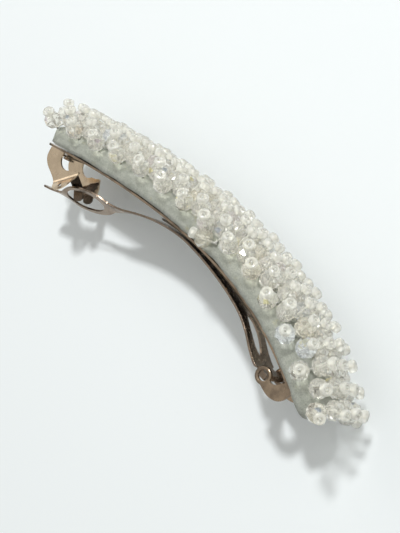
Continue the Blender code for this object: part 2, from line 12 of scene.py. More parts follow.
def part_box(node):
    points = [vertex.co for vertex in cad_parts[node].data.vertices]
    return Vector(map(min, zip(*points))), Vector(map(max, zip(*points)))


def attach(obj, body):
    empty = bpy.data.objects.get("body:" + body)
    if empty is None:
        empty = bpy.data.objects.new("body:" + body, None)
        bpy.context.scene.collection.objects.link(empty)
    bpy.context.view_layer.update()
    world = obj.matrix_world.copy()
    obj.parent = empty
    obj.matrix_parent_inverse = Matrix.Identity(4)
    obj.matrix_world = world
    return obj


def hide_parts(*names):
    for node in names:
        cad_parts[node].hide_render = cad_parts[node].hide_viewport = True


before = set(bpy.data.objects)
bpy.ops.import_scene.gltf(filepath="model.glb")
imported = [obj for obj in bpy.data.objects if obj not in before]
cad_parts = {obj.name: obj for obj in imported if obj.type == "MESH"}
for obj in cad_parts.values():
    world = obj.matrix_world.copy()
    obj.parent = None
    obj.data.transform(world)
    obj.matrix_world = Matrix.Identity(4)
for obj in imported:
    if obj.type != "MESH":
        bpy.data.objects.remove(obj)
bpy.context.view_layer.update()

MM = 0.001

# The bar's arch, as the CAD model has it.
BAR_HALF_CHORD = 42.7 * MM
BAR_FROM = -43.7 * MM
BAR_TO = 42.7 * MM
BAR_RISE = 7.0 * MM
BAR_CREST = 0.65 * MM
BAR_TILT = 0.7 * MM
BAR_LEAN = 2.7 * MM
BAR_LIFT = 0.3 * MM
BAR_HALF_WIDTH = 4.0 * MM
BAR_THICKNESS = 0.45 * MM
BAR_END_PACKING = 0.12
BAR_END_ROUND = 2.2 * MM
BAR_EDGE = 0.14 * MM

# Hinge.
PIN = (35.3, -8.0)
RING_RADIUS = 1.8 * MM
RING_HOLE = 1.1 * MM
CHEEK_THICKNESS = 0.5 * MM
CHEEK_INSET = 0.05 * MM
RING_RIM = 1.5 * MM
RING_TUBE = 0.42 * MM
CHEEK_OUTLINE = ((35.9, -9.7), (38.2, -10.2), (40.0, -10.0), (41.4, -9.1), (42.1, -7.4), (42.0, -6.1),
                 (40.3, -5.4), (39.6, -6.3), (38.8, -7.3), (37.8, -7.9), (36.6, -7.6))

# Closing arm.
ARM_ROUTE = ((36.2, -8.0), (34.6, -8.05), (32.4, -7.95), (29.6, -6.7), (26.0, -4.6), (22.0, -3.0),
             (16.0, -1.8), (9.0, -1.15), (2.5, -1.1), (-2.0, -1.65), (-7.0, -2.9), (-12.0, -4.8),
             (-16.5, -7.0), (-20.5, -8.95), (-25.0, -11.0), (-29.5, -13.2), (-33.5, -15.2), (-39.0, -17.0))
ARM_THICKNESS = 0.45 * MM
ARM_ROOT_HALF_WIDTH = 3.7 * MM
ARM_TONGUE_HALF_WIDTH = 2.8 * MM
ARM_NECK_HALF_WIDTH = 1.9 * MM
ARM_TIP_HALF_WIDTH = 1.5 * MM
ARM_SHOULDER = 3.6 * MM
ARM_NECK_AT = 54.5 * MM
EYE_CENTRE = 66.3 * MM
EYE_HALF_LENGTH = 8.6 * MM
EYE_HALF_WIDTH = 4.4 * MM
EYE_HOLE_CENTRE = 67.0 * MM
EYE_HOLE_HALF_LENGTH = 5.3 * MM
EYE_HOLE_HALF_WIDTH = 3.4 * MM
EYE_CANT = math.radians(28)
CANT_FROM = 54.5 * MM
CANT_REACH = 7.5 * MM
CANT_BACK_FROM = 70.0 * MM
ARM_TIP_ROUND = 1.2 * MM
ARM_EDGE = 0.1 * MM
ARM_OPEN_BAND = 0.2
SLOT_CENTRE = 10.4 * MM
SLOT_HALF_LENGTH = 4.3 * MM
SLOT_HALF_WIDTH = 1.4 * MM
TRUNNION_SIZE = (1.6 * MM, 1.25 * MM, 8.2 * MM)

# Tension spring.
SPRING_ROUTE = ((33.2, -4.1), (29.0, -2.7), (22.0, -1.6), (16.0, -0.85), (9.0, -0.36), (2.5, -0.45),
                (-2.0, -0.87), (-7.2, -1.9))
SPRING_THICKNESS = 0.25 * MM
SPRING_HALF_WIDTH = 2.0 * MM
SPRING_TIP_ROUND = 2 * MM
SPRING_EDGE = 0.08 * MM

# Clasp.
JAW_THICKNESS = 0.45 * MM
JAW_OUTER_Z = 4.0 * MM
JAW_OUTLINE = ((-41.2, -8.15), (-40.8, -10.2), (-39.9, -11.3), (-38.7, -12.0), (-37.2, -12.5), (-35.6, -13.1),
               (-34.2, -13.9), (-32.75, -14.3), (-31.5, -13.9), (-30.6, -12.9), (-30.1, -11.6),
               (-30.0, -10.2), (-30.1, -8.7), (-30.5, -7.7), (-31.5, -8.3))
JAW_CUT_CENTRE = (-34.7, -7.3)
JAW_CUT_RADIUS = 2.45
JAW_TOP = ((-37.2, -7.05),)
LIP_CREASE = ((-36.3, -14.6), (-31.2, -8.3))
LIP_FLARE = 0.6
LIP_BEND = 2.4 * MM
LIP_CUTS = 7
LIP_CUT_REACH = 1.8
JAW_EDGE = 0.12 * MM
JAW_MARK = ((-32.5, -11.75), (-31.95, -13.05), (-31.15, -12.4))
CATCH_FROM = (-31.0, -9.3)
CATCH_TO = (-27.6, -13.1)
CATCH_HALF_WIDTH = 1.25 * MM
CATCH_Z_START = 3.78 * MM
CATCH_Z_END = 1.7 * MM
CATCH_BEND = 0.5

# Pad.
PAD_FROM = -42.6 * MM
PAD_TO = 46.6 * MM
PAD_HALF_WIDTH = 5.3 * MM
PAD_BOTTOM = 0.35 * MM
PAD_TOP = 4.7 * MM
PAD_CORNER = 2.2 * MM
PAD_END_ROUND = 5 * MM
PAD_RINGS = 150
PAD_LUMPS = ((260, 0.22 * MM), (900, 0.10 * MM))

# Stems.
ROWS = 27
ROW_FIRST = -40.7 * MM
ROW_LAST = 45.8 * MM
STEMS_PER_ROW = 5
STEM_PITCH = 3.9 * MM
STEM_SHIFTS = (-0.3 * MM, -2.2 * MM)
STEM_STANDOFF = 2.35 * MM
CAD_CRYSTAL_RADIUS = 1.8 * MM
CRYSTAL_RADIUS = 2.12 * MM
SEED_AT = 2.5 * MM
SEED_RADIUS = 1.28 * MM
SEED_TINT = (0.935, 0.92, 0.855)
BEAD_SEED = 29
THREAD_RADIUS = 0.22 * MM
THREAD_CLEARANCE = 0.7 * MM
THREAD_ROOT = 0.5 * MM
END_FAN = math.radians(34)
CLASP_END_FAN = math.radians(4)
END_FAN_REACH = 16 * MM
STEM_SCATTER = 0.55 * MM
SCATTER_SEED = 5
STEM_GAP = 0.35 * MM
SETTLE_STEPS = 60
SETTLE_PUSH = 0.35
SETTLE_PULL = 0.03
SETTLE_SEED = 11
STEM_LEAN = 0.24
STRAY_ROW = 15
STRAY_OFFSET = 9.1 * MM
STRAY_WAY = (-0.87, -0.21, 0.45)


def arch(x):
    """Height of the bar's convex face at x, measured from the middle of the bar."""
    u = x / BAR_HALF_CHORD
    return BAR_LIFT - BAR_RISE * u * u - BAR_CREST * u**4 + BAR_TILT * u + BAR_LEAN * (u - u**3)


def bar_middle():
    """The point that the arch is measured from, found from the bar's end, its crown and its middle in Z."""
    low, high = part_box("base_bar")
    crown = max(arch(x) for x in np.linspace(-BAR_HALF_CHORD, BAR_HALF_CHORD, 400))
    return Vector((low.x - BAR_FROM, high.y - crown, (low.z + high.z) / 2))


HOME = bar_middle()


def arch_frame(x):
    """A point on the arch with its tangent and its outward normal."""
    u = x / BAR_HALF_CHORD
    rise = -2 * BAR_RISE * u - 4 * BAR_CREST * u**3 + BAR_TILT + BAR_LEAN * (1 - 3 * u * u)
    tangent = Vector((1, rise / BAR_HALF_CHORD, 0)).normalized()
    return Vector((x, arch(x), 0)) + HOME, tangent, Vector((-tangent.y, tangent.x, 0))


def on_arch(x, height, across):
    point, _, normal = arch_frame(x)
    return point + normal * height + Vector((0, 0, across))


def even_along_arch(first, last, count):
    xs = np.linspace(first, last, 400)
    ys = np.array([arch(x) for x in xs])
    lengths = np.concatenate([[0], np.cumsum(np.hypot(np.diff(xs), np.diff(ys)))])
    return np.interp(np.linspace(0, lengths[-1], count), lengths, xs)


def placed(points):
    """Points given in millimetres from the bar's middle, as places in the CAD frame."""
    return [Vector((x * MM, y * MM, 0)) + HOME for x, y in points]


class Route:
    """A smooth curve through a few points, read by its length from the first point."""

    def __init__(self, points, steps=12):
        knots = [2 * points[0] - points[1], *points, 2 * points[-1] - points[-2]]
        self.points = [points[0]]
        for before, start, end, after in zip(knots, knots[1:], knots[2:], knots[3:]):
            for step in range(1, steps + 1):
                t = step / steps
                self.points.append(0.5 * (2 * start + (end - before) * t
                                          + (2 * before - 5 * start + 4 * end - after) * t**2
                                          + (3 * start - before - 3 * end + after) * t**3))
        runs = [(b - a).length for a, b in zip(self.points, self.points[1:])]
        self.lengths = np.concatenate([[0], np.cumsum(runs)])
        self.length = float(self.lengths[-1])
        self.xs = [p.x for p in self.points]
        self.ys = [p.y for p in self.points]

    def spot(self, length):
        x = np.interp(length, self.lengths, self.xs)
        y = np.interp(length, self.lengths, self.ys)
        return Vector((x, y, HOME.z))

    def at(self, length):
        along = self.spot(min(length + MM, self.length)) - self.spot(max(length - MM, 0))
        along.normalize()
        return self.spot(length), Vector((-along.y, along.x, 0))


def rounded(distance, reach):
    """0 at a round end and 1 from reach inwards, along a quarter of a circle."""
    t = min(max(distance / reach, 0), 1)
    return math.sqrt(1 - (1 - t) ** 2)


def smooth_step(t):
    t = min(max(t, 0), 1)
    return t * t * (3 - 2 * t)


# Materials

class Nodes:
    """Short calls for building one material's nodes."""

    def __init__(self, name):
        self.material = bpy.data.materials.new(name)
        self.material.use_nodes = True
        self.tree = self.material.node_tree
        self.shader = self.tree.nodes["Principled BSDF"]

    def add(self, kind, **values):
        node = self.tree.nodes.new(kind)
        for key, value in values.items():
            if key in node.inputs:
                node.inputs[key].default_value = value
            else:
                setattr(node, key.lower(), value)
        return node

    def link(self, output, target):
        self.tree.links.new(output, target)

    def set(self, **values):
        for key, value in values.items():
            self.shader.inputs[key.replace("_", " ")].default_value = value

    def place(self):
        return self.add("ShaderNodeTexCoord").outputs["Object"]

    def noise(self, scale, detail=3.0, roughness=0.55, vector=None):
        node = self.add("ShaderNodeTexNoise", Scale=scale, Detail=detail, Roughness=roughness)
        self.link(vector or self.place(), node.inputs["Vector"])
        return node.outputs["Fac"]

    def ramp(self, value, *stops):
        node = self.add("ShaderNodeValToRGB")
        elements = node.color_ramp.elements
        while len(elements) < len(stops):
            elements.new(0.5)
        for element, (position, colour) in zip(elements, stops):
            element.position = position
            element.color = (*colour, 1)
        self.link(value, node.inputs["Fac"])
        return node.outputs["Color"]

    def mix(self, amount, a, b, blend="MIX"):
        node = self.add("ShaderNodeMix", data_type="RGBA", blend_type=blend)
        for index, value in ((0, amount), (6, a), (7, b)):
            if isinstance(value, (int, float)):
                node.inputs[index].default_value = value
            elif isinstance(value, tuple):
                node.inputs[index].default_value = (*value, 1)
            else:
                self.link(value, node.inputs[index])
        return node.outputs[2]

    def bump(self, height, distance, strength=1.0):
        node = self.add("ShaderNodeBump", Strength=strength, Distance=distance)
        self.link(height, node.inputs["Height"])
        self.link(node.outputs["Normal"], self.shader.inputs["Normal"])


def grey(value):
    return (value, value, value)


def bronze(name, bright, tarnish, roughness):
    """Polished bronze plating with darker tarnish in clouds and fine pits."""
    nodes = Nodes(name)
    nodes.set(Metallic=1.0)
    clouds = nodes.noise(330, 4.0, 0.6)
    colour = nodes.ramp(clouds, (0.38, tarnish), (0.60, bright))
    nodes.link(colour, nodes.shader.inputs["Base Color"])
    rough = nodes.ramp(nodes.noise(900, 3.0, 0.6), (0.3, grey(roughness * 0.7)), (0.7, grey(roughness * 1.5)))
    nodes.link(rough, nodes.shader.inputs["Roughness"])
    nodes.bump(nodes.noise(2600, 2.0, 0.6), 0.00002, 0.3)
    return nodes.material


def felt_material(name, base, dark, warm):
    """Wool felt: tangled fibres in patches of two grey-greens, a few straw-coloured spots, a soft sheen."""
    nodes = Nodes(name)
    nodes.set(Roughness=0.95, Sheen_Weight=0.2, Sheen_Roughness=0.6, Specular_IOR_Level=0.2)
    patches = nodes.ramp(nodes.noise(650, 6.0, 0.75), (0.36, dark), (0.58, base))
    straw = nodes.ramp(nodes.noise(480, 3.0, 0.6), (0.64, grey(0.0)), (0.72, grey(0.8)))
    colour = nodes.mix(straw, patches, warm)
    fibres = nodes.ramp(nodes.noise(3600, 4.0, 0.8), (0.34, grey(0.6)), (0.6, grey(1.08)))
    colour = nodes.mix(1.0, colour, fibres, "MULTIPLY")
    nodes.link(colour, nodes.shader.inputs["Base Color"])
    nodes.bump(nodes.noise(3000, 6.0, 0.8), 0.00022, 0.9)
    return nodes.material


def glass(name, shade, **values):
    """Clear glass with each bead's own tint, which lets a share of the light through to what it shades."""
    nodes = Nodes(name)
    nodes.set(**values)
    tint = nodes.add("ShaderNodeAttribute", attribute_name="tint")
    nodes.link(tint.outputs["Color"], nodes.shader.inputs["Base Color"])
    ray = nodes.add("ShaderNodeLightPath")
    clear = nodes.add("ShaderNodeBsdfTransparent", Color=(shade, shade, shade, 1))
    mixed = nodes.add("ShaderNodeMixShader")
    nodes.link(ray.outputs["Is Shadow Ray"], mixed.inputs["Fac"])
    nodes.link(nodes.shader.outputs["BSDF"], mixed.inputs[1])
    nodes.link(clear.outputs["BSDF"], mixed.inputs[2])
    nodes.link(mixed.outputs["Shader"], nodes.tree.nodes["Material Output"].inputs["Surface"])
    return nodes.material


def crystal_material():
    return glass("crystal_glass", 0.74, Roughness=0.08, IOR=1.48, Transmission_Weight=0.80, Coat_Weight=1.0,
                 Coat_Roughness=0.05)


def seed_material():
    return glass("seed_glass", 0.74, Roughness=0.10, IOR=1.38, Transmission_Weight=0.68, Coat_Weight=1.0,
                 Coat_Roughness=0.08)


def thread_material():
    nodes = Nodes("sewing_thread")
    nodes.set(Roughness=0.6, Sheen_Weight=0.3)
    twist = nodes.ramp(nodes.noise(5000, 2.0), (0.3, (0.55, 0.54, 0.48)), (0.7, (0.85, 0.84, 0.78)))
    nodes.link(twist, nodes.shader.inputs["Base Color"])
    return nodes.material


BRONZE = bronze("rose_bronze", (0.38, 0.285, 0.20), (0.22, 0.165, 0.12), 0.20)
# painted shade: a darker copy of the bar's bronze, standing in for the dark reflections and shade on the arm
SHADED_ARM_BRONZE = bronze("arm_bronze", (0.31, 0.235, 0.175), (0.21, 0.16, 0.12), 0.22)
# painted light: a much lighter copy of the bar's bronze, standing in for the ears' brightly lit and
# reflecting faces
LIT_JAW_BRONZE = bronze("jaw_bronze", (0.70, 0.55, 0.39), (0.60, 0.47, 0.33), 0.20)
# painted shade: a near-black copy of the bar's bronze for the tension spring under the bar and the catch
# tongues behind the ears, which lie in shade
SHADED_BRONZE = bronze("spring_bronze", (0.16, 0.12, 0.09), (0.09, 0.07, 0.05), 0.3)
FELT = felt_material("pad_felt", (0.47, 0.48, 0.415), (0.35, 0.365, 0.305), (0.47, 0.45, 0.30))
# painted shade: a much darker copy of the pad's felt for the backing and wadding under the pad, where the gap
# to the bar lies in shade
SHADED_FELT = felt_material("backing_felt", (0.20, 0.22, 0.17), (0.11, 0.12, 0.09), (0.26, 0.24, 0.14))
CRYSTAL = crystal_material()
SEED = seed_material()
THREAD = thread_material()


# Mesh helpers

def finish_mesh(bm, name, *finishes, smooth=True, recalc=True):
    if recalc:
        bmesh.ops.recalc_face_normals(bm, faces=bm.faces)
    mesh = bpy.data.meshes.new(name)
    bm.to_mesh(mesh)
    bm.free()
    for finish in finishes:
        mesh.materials.append(finish)
    if smooth:
        mesh.shade_smooth()
    obj = bpy.data.objects.new(name, mesh)
    bpy.context.scene.collection.objects.link(obj)
    return obj


def strip(rows, columns, place, open_cell=None):
    """A sheet of cells laid by place(u, v), with some cells left out."""
    bm = bmesh.new()
    bmesh.ops.create_grid(bm, x_segments=rows, y_segments=columns, size=1)
    if open_cell:
        centres = {face: face.calc_center_median() for face in bm.faces}
        gone = [face for face, at in centres.items() if open_cell((at.x + 1) / 2, at.y)]
        bmesh.ops.delete(bm, geom=gone, context="FACES")
    for vert in bm.verts:
        vert.co = place((vert.co.x + 1) / 2, vert.co.y)
    return bm


def thicken(obj, thickness):
    """Gives a sheet its thickness, half on each side."""
    thick = obj.modifiers.new("Thickness", "SOLIDIFY")
    thick.thickness = thickness
    thick.offset = 0


def round_edges(obj, width):
    bevel = obj.modifiers.new("Edges", "BEVEL")
    bevel.width = width
    bevel.segments = 2
    bevel.limit_method = "ANGLE"
    bevel.angle_limit = math.radians(50)
    bevel.harden_normals = True


def plate(points, holes, thickness, middle_z):
    """A flat plate parallel to XY from an outline and its holes."""
    curve = bpy.data.curves.new("outline", "CURVE")
    curve.dimensions = "2D"
    curve.fill_mode = "BOTH"
    curve.extrude = thickness / 2
    for loop in (points, *holes):
        spline = curve.splines.new("POLY")
        spline.points.add(len(loop) - 1)
        for control, point in zip(spline.points, loop):
            control.co = (point.x, point.y, 0, 1)
        spline.use_cyclic_u = True
    holder = bpy.data.objects.new("outline", curve)
    bpy.context.scene.collection.objects.link(holder)
    graph = bpy.context.evaluated_depsgraph_get()
    mesh = bpy.data.meshes.new_from_object(holder.evaluated_get(graph))
    bpy.data.objects.remove(holder)
    bpy.data.curves.remove(curve)
    bm = bmesh.new()
    bm.from_mesh(mesh)
    bpy.data.meshes.remove(mesh)
    bmesh.ops.remove_doubles(bm, verts=bm.verts, dist=1e-6)
    bmesh.ops.translate(bm, verts=bm.verts, vec=(0, 0, middle_z))
    return bm


def circle(centre, radius, count, first=0.0, last=2 * math.pi):
    closed = last - first >= 2 * math.pi
    steps = count if closed else count - 1
    angles = [first + (last - first) * i / steps for i in range(count)]
    return [centre + Vector((math.cos(a), math.sin(a), 0)) * radius for a in angles]


def weld(obj, other):
    """Joins one closed mesh to another, and leaves the plain result."""
    modifier = obj.modifiers.new("Join", "BOOLEAN")
    modifier.operation = "UNION"
    modifier.object = other
    apply_modifiers(obj)
    bpy.data.objects.remove(other)


def apply_modifiers(obj):
    graph = bpy.context.evaluated_depsgraph_get()
    mesh = bpy.data.meshes.new_from_object(obj.evaluated_get(graph))
    obj.modifiers.clear()
    old = obj.data
    obj.data = mesh
    bpy.data.meshes.remove(old)


# Metal pieces

def base_bar():
    """The arched strip with its two hinge cheeks, each with a rolled rim round the pin's hole."""
    def place(u, v):
        even = u - BAR_END_PACKING * math.sin(2 * math.pi * u)
        x = BAR_FROM + (BAR_TO - BAR_FROM) * even
        half = BAR_HALF_WIDTH * (0.3 + 0.7 * rounded(min(x - BAR_FROM, BAR_TO - x), BAR_END_ROUND))
        return on_arch(x, -BAR_THICKNESS / 2, v * half)

    bar = finish_mesh(strip(90, 6, place), "base_bar_metal", BRONZE)
    thicken(bar, BAR_THICKNESS)
    apply_modifiers(bar)
    ring = placed((PIN,))[0]
    for side in (1, -1):
        outline = circle(ring, RING_RADIUS, 22, math.radians(70), math.radians(290))
        outline += Route(placed(CHEEK_OUTLINE), 3).points
        middle = HOME.z + side * (BAR_HALF_WIDTH - CHEEK_THICKNESS / 2 - CHEEK_INSET)
        cheek = finish_mesh(plate(outline, [circle(ring, RING_HOLE, 28)], CHEEK_THICKNESS, middle), "cheek")
        weld(bar, cheek)
        rim = rolled_ring(RING_RIM, RING_TUBE, 1.0, 10, 32)
        bmesh.ops.translate(rim, verts=rim.verts, vec=(ring.x, ring.y, middle))
        weld(bar, finish_mesh(rim, "rolled_rim"))
    round_edges(bar, BAR_EDGE)
    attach(bar, "clip_frame")
    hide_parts("base_bar")


def jaw(side, name):
    """A pressed ear with a flared lip and its catch, drawn on the +Z side and mirrored for the other."""
    outline = Route(placed(JAW_OUTLINE), 3).points
    centre = placed((JAW_CUT_CENTRE,))[0]
    cut = circle(centre, JAW_CUT_RADIUS * MM, 22, math.radians(-35), math.radians(-155))
    mesh = plate(outline + cut + placed(JAW_TOP), [placed(JAW_MARK)], JAW_THICKNESS, 0)
    start, end = placed(LIP_CREASE)
    along = (end - start).normalized()
    across = Vector((along.y, -along.x, 0))
    start.z = 0
    for step in np.linspace(0, LIP_CUT_REACH, LIP_CUTS) * MM:
        everything = mesh.verts[:] + mesh.edges[:] + mesh.faces[:]
        bmesh.ops.bisect_plane(mesh, geom=everything, dist=1e-6,
                               plane_co=start + across * step, plane_no=across)
    middle = JAW_OUTER_Z - JAW_THICKNESS / 2
    for vert in mesh.verts:
        past = max((vert.co - start).dot(across), 0)
        vert.co.z += middle + LIP_FLARE * past * smooth_step(past / LIP_BEND + 0.05)
    # The ear plate takes the painted-light bronze; the catch takes the painted-shade bronze.
    piece = finish_mesh(mesh, name + "_metal", LIT_JAW_BRONZE, SHADED_BRONZE)
    tongue = finish_mesh(strip(12, 2, catch_place), "catch", LIT_JAW_BRONZE, SHADED_BRONZE)
    # The catch's faces take the second slot, the painted-shade bronze.
    for face in tongue.data.polygons:
        face.material_index = 1
    thicken(tongue, JAW_THICKNESS)
    apply_modifiers(tongue)
    weld(piece, tongue)
    flip = Matrix.Translation((0, 0, HOME.z)) @ Matrix.Diagonal((1, 1, side, 1))
    piece.data.transform(flip)
    if side < 0:
        piece.data.flip_normals()
    round_edges(piece, JAW_EDGE)
    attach(piece, name)
    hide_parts(name)


def catch_place(u, v):
    start, end = placed((CATCH_FROM, CATCH_TO))
    run = end - start
    across = Vector((-run.y, run.x, 0)).normalized()
    half = CATCH_HALF_WIDTH * (0.35 + 0.65 * rounded((1 - u) * run.length, 0.9 * MM))
    height = CATCH_Z_START + (CATCH_Z_END - CATCH_Z_START) * min(u / CATCH_BEND, 1)
    spot = start + run * u + across * v * half
    return Vector((spot.x, spot.y, height))


def arm_half_width(length):
    if length < ARM_SHOULDER:
        return ARM_TONGUE_HALF_WIDTH
    taper = min((length - ARM_SHOULDER) / (ARM_NECK_AT - ARM_SHOULDER), 1)
    half = ARM_ROOT_HALF_WIDTH + (ARM_NECK_HALF_WIDTH - ARM_ROOT_HALF_WIDTH) * taper**1.3
    if length > EYE_CENTRE:
        half = ARM_TIP_HALF_WIDTH
    leaf = 1 - ((length - EYE_CENTRE) / EYE_HALF_LENGTH) ** 2
    if leaf > 0:
        half = max(half, EYE_HALF_WIDTH * leaf**0.8)
    return half


def arm_hole_half_width(length, half):
    """Half width of the eye's hole or of the slot; elsewhere, of a narrow band down the middle."""
    narrow = 0.06 * half
    for centre, half_length, widest in ((EYE_HOLE_CENTRE, EYE_HOLE_HALF_LENGTH, EYE_HOLE_HALF_WIDTH),
                                        (SLOT_CENTRE, SLOT_HALF_LENGTH, SLOT_HALF_WIDTH)):
        inside = 1 - ((length - centre) / half_length) ** 2
        if inside > 0:
            return max(widest * math.sqrt(inside), narrow)
    return narrow


def closing_arm():
    """The arm's strip, pierced by the slot and the canted eye, with a cross pin in the cheeks' rings."""
    route = Route(placed(ARM_ROUTE))

    def place(u, v):
        length = u * route.length
        point, normal = route.at(length)
        half = arm_half_width(length)
        if route.length - length < ARM_TIP_ROUND:
            half *= 0.45 + 0.55 * rounded(route.length - length, ARM_TIP_ROUND)
        inner = arm_hole_half_width(length, half)
        spread = abs(v)
        if spread <= ARM_OPEN_BAND + 0.01:
            edge = inner * spread / ARM_OPEN_BAND
        else:
            edge = inner + (half - inner) * (spread - ARM_OPEN_BAND) / (1 - ARM_OPEN_BAND)
        across = math.copysign(edge, v)
        cant = EYE_CANT * smooth_step((length - CANT_FROM) / CANT_REACH)
        cant *= 1 - smooth_step((length - CANT_BACK_FROM) / CANT_REACH)
        return point + Vector((0, 0, across * math.cos(cant))) - normal * across * math.sin(cant)

    def open_cell(u, v):
        length = u * route.length
        return abs(v) < ARM_OPEN_BAND and (abs(length - EYE_HOLE_CENTRE) < EYE_HOLE_HALF_LENGTH
                                           or abs(length - SLOT_CENTRE) < SLOT_HALF_LENGTH)

    # The arm takes the darker, painted-shade copy of the bronze.
    arm = finish_mesh(strip(260, 10, place, open_cell), "closing_arm_metal", SHADED_ARM_BRONZE)
    thicken(arm, ARM_THICKNESS)
    apply_modifiers(arm)
    bm = bmesh.new()
    bmesh.ops.create_cube(bm, size=1)
    bmesh.ops.scale(bm, vec=TRUNNION_SIZE, verts=bm.verts)
    bmesh.ops.translate(bm, vec=placed((PIN,))[0], verts=bm.verts)
    weld(arm, finish_mesh(bm, "trunnions", smooth=False))
    round_edges(arm, ARM_EDGE)
    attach(arm, "closing_arm")
    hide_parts("closing_arm")


def tension_spring():
    route = Route(placed(SPRING_ROUTE))

    def place(u, v):
        length = u * route.length
        half = SPRING_HALF_WIDTH * (0.5 + 0.5 * rounded(route.length - length, SPRING_TIP_ROUND))
        return route.spot(length) + Vector((0, 0, v * half))

    # The spring takes the painted-shade copy of the bronze.
    spring = finish_mesh(strip(60, 4, place), "tension_spring_metal", SHADED_BRONZE)
    thicken(spring, SPRING_THICKNESS)
    round_edges(spring, SPRING_EDGE)
    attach(spring, "tension_spring")
    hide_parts("tension_spring")


# Felt

def pad_section(half_width, bottom, top, corner, steps):
    """The pad's cross-section: a flat bottom, straight sides and two round upper corners."""
    arcs = [math.pi / 2 * i / steps for i in range(steps + 1)]
    right = [(half_width - corner * (1 - math.cos(a)), top - corner * (1 - math.sin(a))) for a in arcs]
    left = [(-t, h) for t, h in reversed(right)]
    return [(half_width * 0.6, bottom), (half_width * 0.93, bottom), *right, *left,
            (-half_width * 0.93, bottom), (-half_width * 0.6, bottom)]


def felt_cover():
    """The visible felt: a lumpy, slightly fluffy wall round the edge of the beadwork."""
    section = pad_section(PAD_HALF_WIDTH, PAD_BOTTOM, PAD_TOP, PAD_CORNER, 6)
    middle = (PAD_BOTTOM + PAD_TOP) / 2
    bm = bmesh.new()
    bmesh.ops.create_grid(bm, x_segments=PAD_RINGS, y_segments=len(section), size=1)
    for vert in bm.verts:
        u = (vert.co.x + 1) / 2
        k = round((vert.co.y + 1) / 2 * len(section)) % len(section)
        across, height = section[k]
        x = PAD_FROM + (PAD_TO - PAD_FROM) * (0.35 * u + 0.65 * smooth_step(u))
        narrow = 0.55 + 0.45 * rounded(min(x - PAD_FROM, PAD_TO - x), PAD_END_ROUND)
        vert.co = on_arch(x, middle + (height - middle) * (0.5 + 0.5 * narrow), across * narrow)
    bmesh.ops.remove_doubles(bm, verts=bm.verts, dist=1e-6)
    rims = [edge for edge in bm.edges if edge.is_boundary]
    bmesh.ops.holes_fill(bm, edges=rims)
    bmesh.ops.recalc_face_normals(bm, faces=bm.faces)
    bmesh.ops.subdivide_edges(bm, edges=bm.edges, cuts=1, use_grid_fill=True)
    for vert in bm.verts:
        lumps = [noise.noise(vert.co * fineness) * height for fineness, height in PAD_LUMPS]
        vert.co += vert.normal * sum(lumps)
    cover = finish_mesh(bm, "felt_cover_soft", FELT)
    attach(cover, "clip_frame")
    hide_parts("felt_cover")


# Beads

def pad_surface(offset, lift):
    """Place and tilt of a point at this offset round the pad's top, lifted off it."""
    flat = PAD_HALF_WIDTH - PAD_CORNER
    reach = max(abs(offset) - flat, 0)
    radius = PAD_CORNER + STEM_STANDOFF
    tilt = min(reach / radius, math.pi / 2)
    past = reach - tilt * radius
    across = min(abs(offset), flat) + (PAD_CORNER + lift) * math.sin(tilt)
    height = PAD_TOP - PAD_CORNER + (PAD_CORNER + lift) * math.cos(tilt) - past
    return math.copysign(across, offset), height, math.copysign(tilt, offset)


def row_places():
    for row, x in enumerate(even_along_arch(ROW_FIRST, ROW_LAST, ROWS)):
        shift = STEM_SHIFTS[row % 2]
        reach = (STEMS_PER_ROW - 1) / 2 * STEM_PITCH
        yield row, x, shift - reach, shift + reach


def stem_foot(x, offset):
    across, height, tilt = pad_surface(offset, THREAD_CLEARANCE)
    _, _, normal = arch_frame(x)
    return on_arch(x, height, across), normal * math.cos(tilt) + Vector((0, 0, math.sin(tilt)))


def stem_starts():
    chance = random.Random(SCATTER_SEED)
    stems = []
    for row, x, first, last in row_places():
        to_hinge = max((x - ROW_LAST) / END_FAN_REACH + 1, 0)
        to_clasp = max((ROW_FIRST - x) / END_FAN_REACH + 1, 0)
        fan = END_FAN * to_hinge**2 - CLASP_END_FAN * to_clasp**2
        for offset in np.linspace(first, last, STEMS_PER_ROW):
            foot, outward = stem_foot(x, offset + chance.uniform(-STEM_SCATTER, STEM_SCATTER))
            _, tangent, _ = arch_frame(x)
            stems.append((row, foot, outward * math.cos(fan) + tangent * math.sin(fan)))
    return stems


def settle(stems):
    """Lets stems that stand too close lean apart, after a small random lean."""
    chance = random.Random(SETTLE_SEED)
    feet = np.array([foot for _, foot, _ in stems])
    first = np.array([way for _, _, way in stems])
    ways = first + np.array([[chance.gauss(0, STEM_LEAN) for _ in range(3)] for _ in stems])
    wanted = 2 * CAD_CRYSTAL_RADIUS + STEM_GAP
    for _ in range(SETTLE_STEPS):
        ways /= np.linalg.norm(ways, axis=1)[:, None]
        beads = feet + ways * STEM_STANDOFF
        between = beads[:, None, :] - beads[None, :, :]
        distance = np.linalg.norm(between, axis=2) + np.eye(len(stems))
        push = np.clip(wanted - distance, 0, None) / distance
        np.fill_diagonal(push, 0)
        ways += SETTLE_PUSH * (between * push[:, :, None]).sum(axis=1) / STEM_STANDOFF
        ways += SETTLE_PULL * (first - ways)
    ways /= np.linalg.norm(ways, axis=1)[:, None]
    return ways


def crystal_shape():
    """A faceted rondelle of radius 1: eight sides, its bands turned half a step from each other."""
    bm = bmesh.new()
    bmesh.ops.create_uvsphere(bm, u_segments=8, v_segments=6, radius=1)
    half_step = Matrix.Rotation(math.pi / 8, 3, "Z")
    bands = {0.866: (0.42, 0.76), 0.5: (0.84, 0.52), 0.0: (1.0, 0.0)}
    for vert in bm.verts:
        level = min(bands, key=lambda band: abs(band - abs(vert.co.z)))
        if abs(vert.co.z) > 0.95:
            vert.co.z = math.copysign(0.70, vert.co.z)
            continue
        radius, height = bands[level]
        flat = Vector((vert.co.x, vert.co.y, 0)).normalized() * radius
        if level == 0.5:
            flat = half_step @ flat
        vert.co = flat + Vector((0, 0, math.copysign(height, vert.co.z)))
    bmesh.ops.recalc_face_normals(bm, faces=bm.faces)
    return bm


